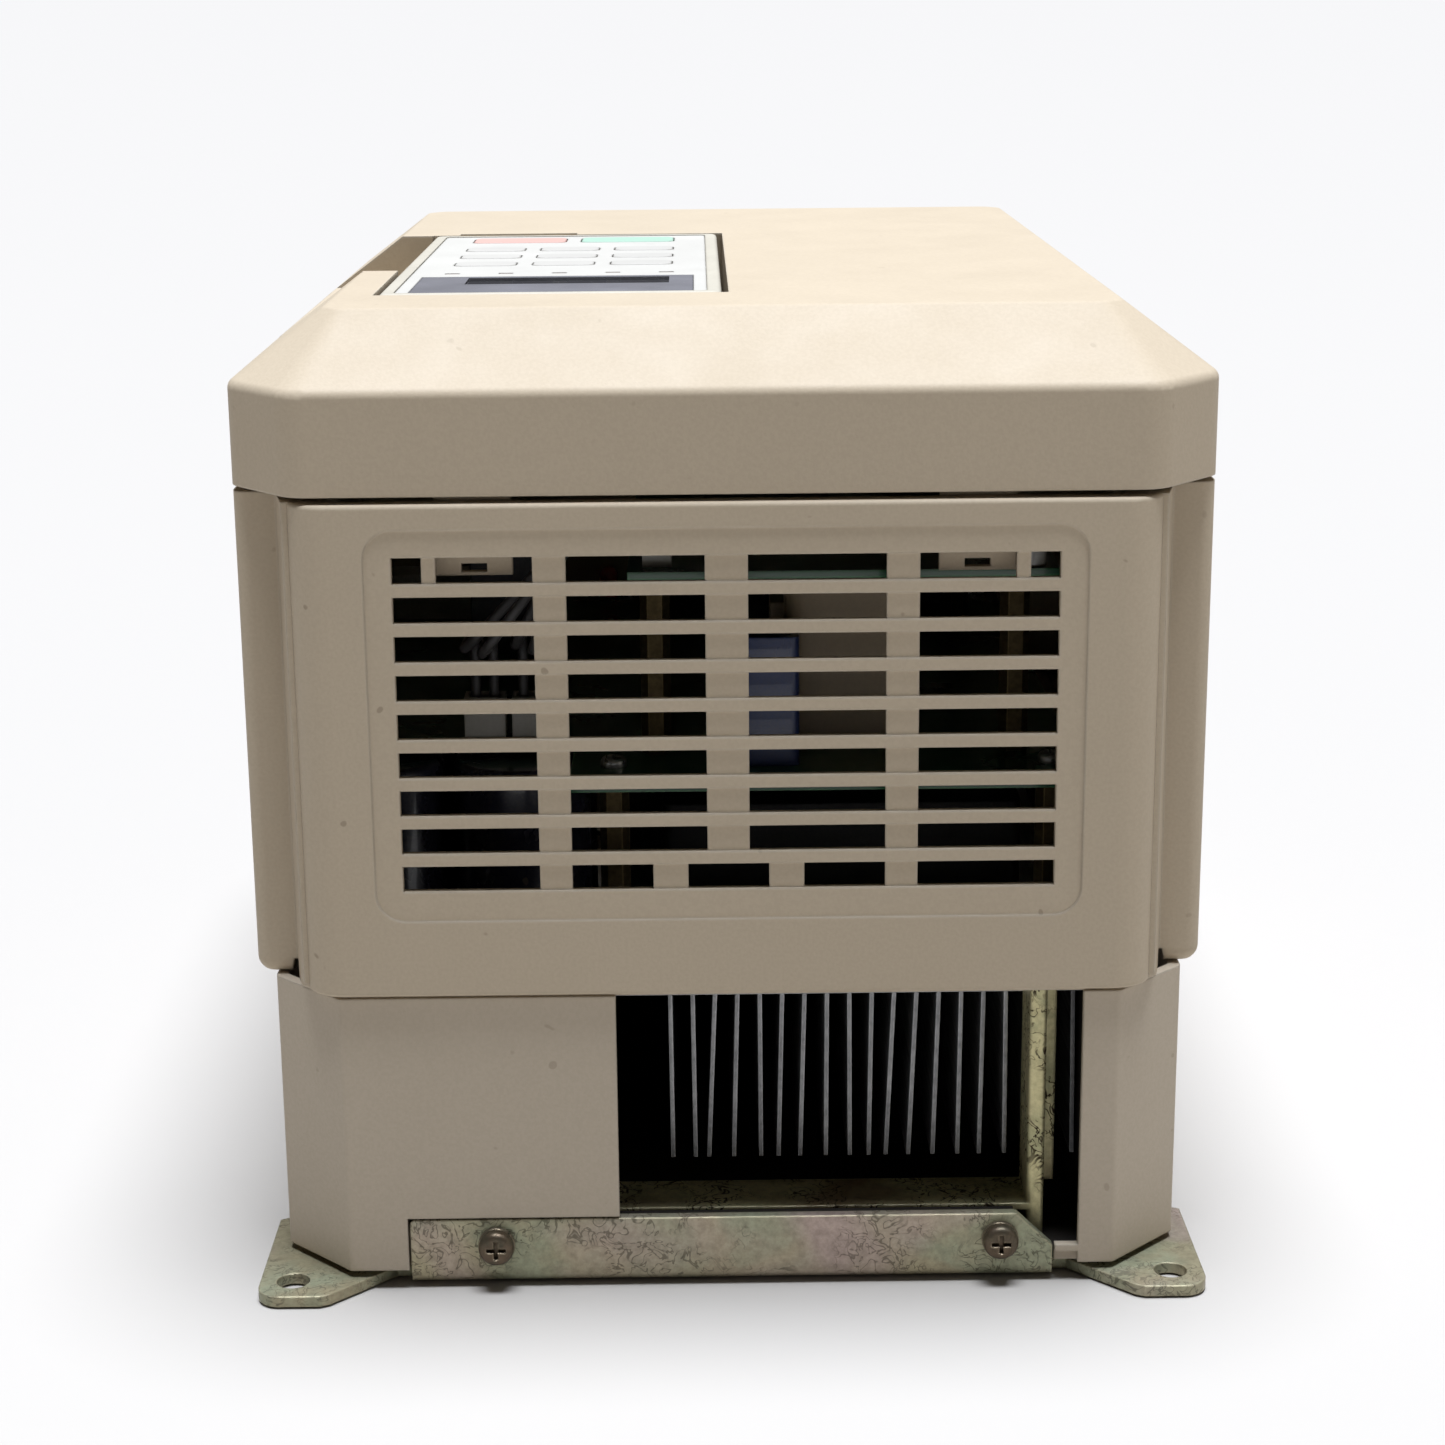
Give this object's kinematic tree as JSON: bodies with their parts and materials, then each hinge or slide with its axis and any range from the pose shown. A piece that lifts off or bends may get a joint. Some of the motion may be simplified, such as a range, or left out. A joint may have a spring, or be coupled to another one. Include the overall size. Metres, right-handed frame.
{
  "type": "variable frequency drive",
  "caption": "Wall-mounted motor drive case lying on its back, with a ducted finned heat sink, slotted vent panel, bevelled front cover and lift-off keypad.",
  "frame": {"origin": "centre of the footprint, on the plane that the mounting brackets rest on", "axes": "+Z out of the front cover and the keypad, +Y towards the cable end, -Y towards the warm air outlet, +X to the right when the front is seen with the outlet end nearest"},
  "size_m": [0.2, 0.3, 0.205],
  "materials": {
    "base_plastic": "moulded, fine grain",
    "case_plastic": "moulded, fine grain",
    "vent_plastic": "moulded, fine grain",
    "cover_plastic": "moulded, fine grain",
    "bracket_steel": "yellow passivated zinc",
    "screw_steel": "bronze passivated zinc",
    "washer_steel": "bronze passivated zinc",
    "frame_steel": "yellow passivated zinc",
    "heatsink_aluminium": "extruded",
    "fin_aluminium": "rolled sheet",
    "fan_plastic": "glass-filled moulding",
    "rotor_plastic": "moulded",
    "guard_plastic": "moulded, fine grain",
    "plate_steel": "zinc plated sheet",
    "module_plastic": "moulded",
    "capacitor_sleeve": "shrink sleeve",
    "board_laminate": "solder mask",
    "post_brass": "turned",
    "small_screw_steel": "zinc plated",
    "relay_plastic": "moulded",
    "resistor_ceramic": "unglazed ceramic",
    "sensor_plastic": "moulded",
    "transformer_wrap": "taped winding",
    "film_capacitor_case": "moulded",
    "header_plastic": "moulded",
    "charge_lamp_lens": "clear moulded",
    "board_lamp_lens": "clear moulded",
    "chip_epoxy": "moulded epoxy",
    "socket_plastic": "moulded",
    "terminal_green": "moulded",
    "terminal_black": "moulded",
    "terminal_screw_steel": "nickel plated",
    "wire_jacket": "extruded",
    "keypad_plastic": "moulded, fine grain",
    "latch_plastic": "moulded",
    "plug_plastic": "moulded",
    "display_glass": "liquid crystal panel",
    "lens_plastic": "clear, tinted",
    "lamp_plastic": "clear moulded",
    "overlay_film": "printed film",
    "key_plastic": "moulded",
    "stop_key_plastic": "moulded",
    "run_key_plastic": "moulded"
  },
  "bodies": {
    "chassis": {"base_case": "base_plastic", "upper_case": "case_plastic", "top_vent_panel": "vent_plastic", "mounting_bracket_top": "bracket_steel", "mounting_bracket_bottom": "bracket_steel", "bracket_screws": "screw_steel", "spring_washers": "washer_steel", "duct_frame": "frame_steel", "heatsink_base": "heatsink_aluminium", "heatsink_fins": "fin_aluminium", "fan_frames": "fan_plastic", "fan_guard": "guard_plastic", "cable_entry_plate": "plate_steel", "rectifier_module": "module_plastic", "igbt_module": "module_plastic", "dc_capacitors": "capacitor_sleeve", "power_board": "board_laminate", "control_board": "board_laminate", "board_posts": "post_brass", "board_screws": "small_screw_steel", "charge_relay": "relay_plastic", "precharge_resistor": "resistor_ceramic", "current_sensors": "sensor_plastic", "supply_transformer": "transformer_wrap", "film_capacitor": "film_capacitor_case", "wire_headers": "header_plastic", "charge_lamp": "charge_lamp_lens", "board_lamp": "board_lamp_lens", "control_chips": "chip_epoxy", "operator_socket": "socket_plastic", "control_terminals": "terminal_green", "control_terminal_screws": "small_screw_steel", "main_terminals": "terminal_black", "main_terminal_screws": "terminal_screw_steel", "wire_harness": "wire_jacket"},
    "fan_wheel_left": {"fan_rotor_left": "rotor_plastic"},
    "fan_wheel_right": {"fan_rotor_right": "rotor_plastic"},
    "cover": {"front_cover": "cover_plastic"},
    "keypad": {"keypad_case": "keypad_plastic", "keypad_plug": "plug_plastic", "keypad_board": "board_laminate", "keypad_display": "display_glass", "display_lens": "lens_plastic", "keypad_lamps": "lamp_plastic", "keypad_overlay": "overlay_film"},
    "latch": {"keypad_latch": "latch_plastic"},
    "key_local_button": {"key_local": "key_plastic"},
    "key_menu_button": {"key_menu": "key_plastic"},
    "key_escape_button": {"key_escape": "key_plastic"},
    "key_jog_button": {"key_jog": "key_plastic"},
    "key_up_button": {"key_up": "key_plastic"},
    "key_enter_button": {"key_enter": "key_plastic"},
    "key_direction_button": {"key_direction": "key_plastic"},
    "key_down_button": {"key_down": "key_plastic"},
    "key_shift_button": {"key_shift": "key_plastic"},
    "key_stop_button": {"key_stop": "stop_key_plastic"},
    "key_run_button": {"key_run": "run_key_plastic"}
  },
  "joints": [
    {"name": "fan_spin_left", "type": "hinge", "parent": "chassis", "child": "fan_wheel_left", "pos_m": [-0.00025, 0.125, 0.0387], "axis": [0, 1, 0], "continuous": true},
    {"name": "fan_spin_right", "type": "hinge", "parent": "chassis", "child": "fan_wheel_right", "pos_m": [0.05025, 0.125, 0.0387], "axis": [0, 1, 0], "continuous": true},
    {"name": "cover_tilt", "type": "hinge", "parent": "chassis", "child": "cover", "pos_m": [0, -0.1418, 0.169], "axis": [1, 0, 0], "range_deg": [0, 40]},
    {"name": "keypad_lift", "type": "slide", "parent": "cover", "child": "keypad", "axis": [0, 0, 1], "range_m": [0, 0.035]},
    {"name": "latch_press", "type": "slide", "parent": "keypad", "child": "latch", "axis": [1, 0, 0], "range_m": [0, 0.0014], "stiffness_N_per_m": 600, "springref_m": -0.0005},
    {"name": "key_local_press", "type": "slide", "parent": "keypad", "child": "key_local_button", "axis": [0, 0, -1], "range_m": [0, 0.0005], "stiffness_N_per_m": 400, "springref_m": -0.0005},
    {"name": "key_menu_press", "type": "slide", "parent": "keypad", "child": "key_menu_button", "axis": [0, 0, -1], "range_m": [0, 0.0005], "stiffness_N_per_m": 400, "springref_m": -0.0005},
    {"name": "key_escape_press", "type": "slide", "parent": "keypad", "child": "key_escape_button", "axis": [0, 0, -1], "range_m": [0, 0.0005], "stiffness_N_per_m": 400, "springref_m": -0.0005},
    {"name": "key_jog_press", "type": "slide", "parent": "keypad", "child": "key_jog_button", "axis": [0, 0, -1], "range_m": [0, 0.0005], "stiffness_N_per_m": 400, "springref_m": -0.0005},
    {"name": "key_up_press", "type": "slide", "parent": "keypad", "child": "key_up_button", "axis": [0, 0, -1], "range_m": [0, 0.0005], "stiffness_N_per_m": 400, "springref_m": -0.0005},
    {"name": "key_enter_press", "type": "slide", "parent": "keypad", "child": "key_enter_button", "axis": [0, 0, -1], "range_m": [0, 0.0005], "stiffness_N_per_m": 400, "springref_m": -0.0005},
    {"name": "key_direction_press", "type": "slide", "parent": "keypad", "child": "key_direction_button", "axis": [0, 0, -1], "range_m": [0, 0.0005], "stiffness_N_per_m": 400, "springref_m": -0.0005},
    {"name": "key_down_press", "type": "slide", "parent": "keypad", "child": "key_down_button", "axis": [0, 0, -1], "range_m": [0, 0.0005], "stiffness_N_per_m": 400, "springref_m": -0.0005},
    {"name": "key_shift_press", "type": "slide", "parent": "keypad", "child": "key_shift_button", "axis": [0, 0, -1], "range_m": [0, 0.0005], "stiffness_N_per_m": 400, "springref_m": -0.0005},
    {"name": "key_stop_press", "type": "slide", "parent": "keypad", "child": "key_stop_button", "axis": [0, 0, -1], "range_m": [0, 0.0005], "stiffness_N_per_m": 400, "springref_m": -0.0005},
    {"name": "key_run_press", "type": "slide", "parent": "keypad", "child": "key_run_button", "axis": [0, 0, -1], "range_m": [0, 0.0005], "stiffness_N_per_m": 400, "springref_m": -0.0005}
  ]
}
